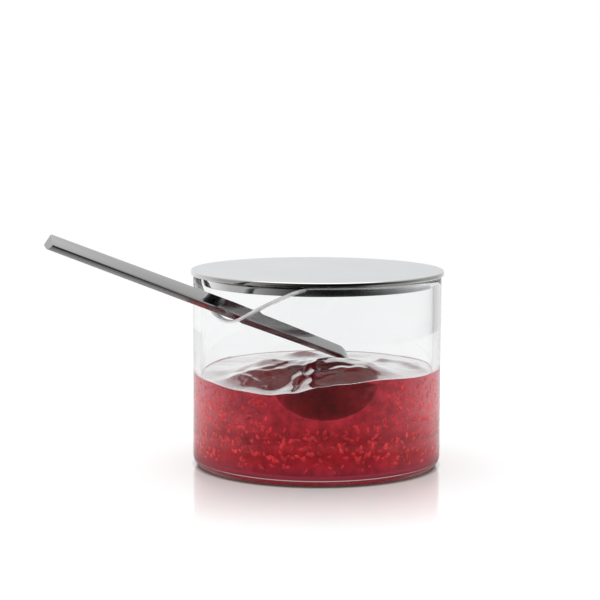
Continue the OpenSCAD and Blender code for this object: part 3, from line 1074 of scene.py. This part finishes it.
def studio_sky(scene, stage):
    """White all round, with the dim room behind the camera seen only in polished steel."""
    world = bpy.data.worlds.new("studio_sky")
    scene.world = world
    world.use_nodes = True
    tree = world.node_tree
    tree.nodes.clear()
    direction = node(tree, "ShaderNodeTexCoord").outputs["Generated"]
    path = node(tree, "ShaderNodeLightPath").outputs
    room = facing_ramp(tree, direction, ROOM_GREYS, ROOM_TURN)
    high = ranged(tree, node(tree, "ShaderNodeSeparateXYZ", {"Vector": direction}).outputs["Z"], (0.45, 0.9))
    dim = node(tree, "ShaderNodeBackground", {"Color": mixed(tree, high, room, WHITE), "Strength": 1.0})
    plain = node(tree, "ShaderNodeBackground", {"Color": WHITE, "Strength": 1.0})
    light = node(tree, "ShaderNodeBackground", {"Color": WHITE, "Strength": stage.sky})
    seen = maths(tree, "MAXIMUM", path["Is Camera Ray"], path["Is Transmission Ray"])
    sky = blend(tree, mirrored(tree, path), blend(tree, seen, light, plain), dim)
    node(tree, "ShaderNodeOutputWorld", {"Surface": sky})


def place_camera(scene, stage):
    """The photo's view, from a little above the lid."""
    bpy.ops.object.camera_add()
    camera = bpy.context.object
    camera.name = "photo_camera"
    camera.data.lens = stage.lens
    camera.data.sensor_width = 36
    camera.data.clip_end = 10
    turn = Matrix.Rotation(-PHOTO_TURN, 4, "Z")
    aim = Matrix.Rotation(math.radians(CAMERA_YAW), 4, "Z") \
        @ Matrix.Rotation(math.radians(90 - CAMERA_DOWN), 4, "X") \
        @ Matrix.Rotation(math.radians(CAMERA_ROLL), 4, "Z")
    camera.matrix_world = turn @ Matrix.Translation(CAMERA_AT) @ aim
    scene.camera = camera
    scene.view_settings.view_transform = "Standard"
    # light crosses many thin faces among the seeds
    scene.cycles.transparent_max_bounces = 32


class JAMPOT_OT_stage(bpy.types.Operator):
    """Set the white table, the soft studio light and the camera"""
    bl_idname = "jampot.stage"
    bl_label = "Studio Stage"

    def execute(self, context):
        stage = context.scene.jam_pot.stage
        clear_bench()
        bpy.ops.mesh.primitive_circle_add(vertices=128, radius=stage.table_radius, fill_type="NGON",
                                          location=(0, 0, -TABLE_GAP))
        table = bpy.context.object
        table.name = "white_table"
        table.data.materials.append(table_material(stage))
        bpy.ops.object.light_add(type="AREA", location=SOFT_BOX_AT)
        soft_box = bpy.context.object
        soft_box.name = "soft_box"
        soft_box.data.shape = "DISK"
        soft_box.data.size = SOFT_BOX_SIZE
        soft_box.data.energy = stage.top_light
        studio_sky(context.scene, stage)
        place_camera(context.scene, stage)
        return {"FINISHED"}


# Panel and start

class JAMPOT_PT_panel(bpy.types.Panel):
    """Builds the jam pot piece by piece"""
    bl_label = "Jam Pot"
    bl_idname = "JAMPOT_PT_panel"
    bl_space_type = "VIEW_3D"
    bl_region_type = "UI"
    bl_category = "Jam Pot"

    def draw(self, context):
        settings = context.scene.jam_pot
        for operator, group in (("jampot.glass", settings.glass), ("jampot.jam", settings.jam),
                                ("jampot.seeds", None), ("jampot.lid", settings.steel),
                                ("jampot.spoon", settings.spoon), ("jampot.stage", settings.stage)):
            box = self.layout.box()
            box.operator(operator)
            if group:
                for name in group.__annotations__:
                    box.prop(group, name)


CLASSES = (JamPotGlass, JamPotJam, JamPotSteel, JamPotSpoon, JamPotStage, JamPotSettings, JAMPOT_OT_glass,
           JAMPOT_OT_jam, JAMPOT_OT_seeds, JAMPOT_OT_lid, JAMPOT_OT_spoon, JAMPOT_OT_stage, JAMPOT_PT_panel)


def register():
    for cls in CLASSES:
        bpy.utils.register_class(cls)
    bpy.types.Scene.jam_pot = PointerProperty(type=JamPotSettings)


def unregister():
    del bpy.types.Scene.jam_pot
    for cls in reversed(CLASSES):
        bpy.utils.unregister_class(cls)


def main():
    register()
    bpy.ops.jampot.glass()
    bpy.ops.jampot.jam()
    bpy.ops.jampot.seeds()
    bpy.ops.jampot.lid()
    bpy.ops.jampot.spoon()
    bpy.ops.jampot.stage()


if __name__ == "__main__":
    main()
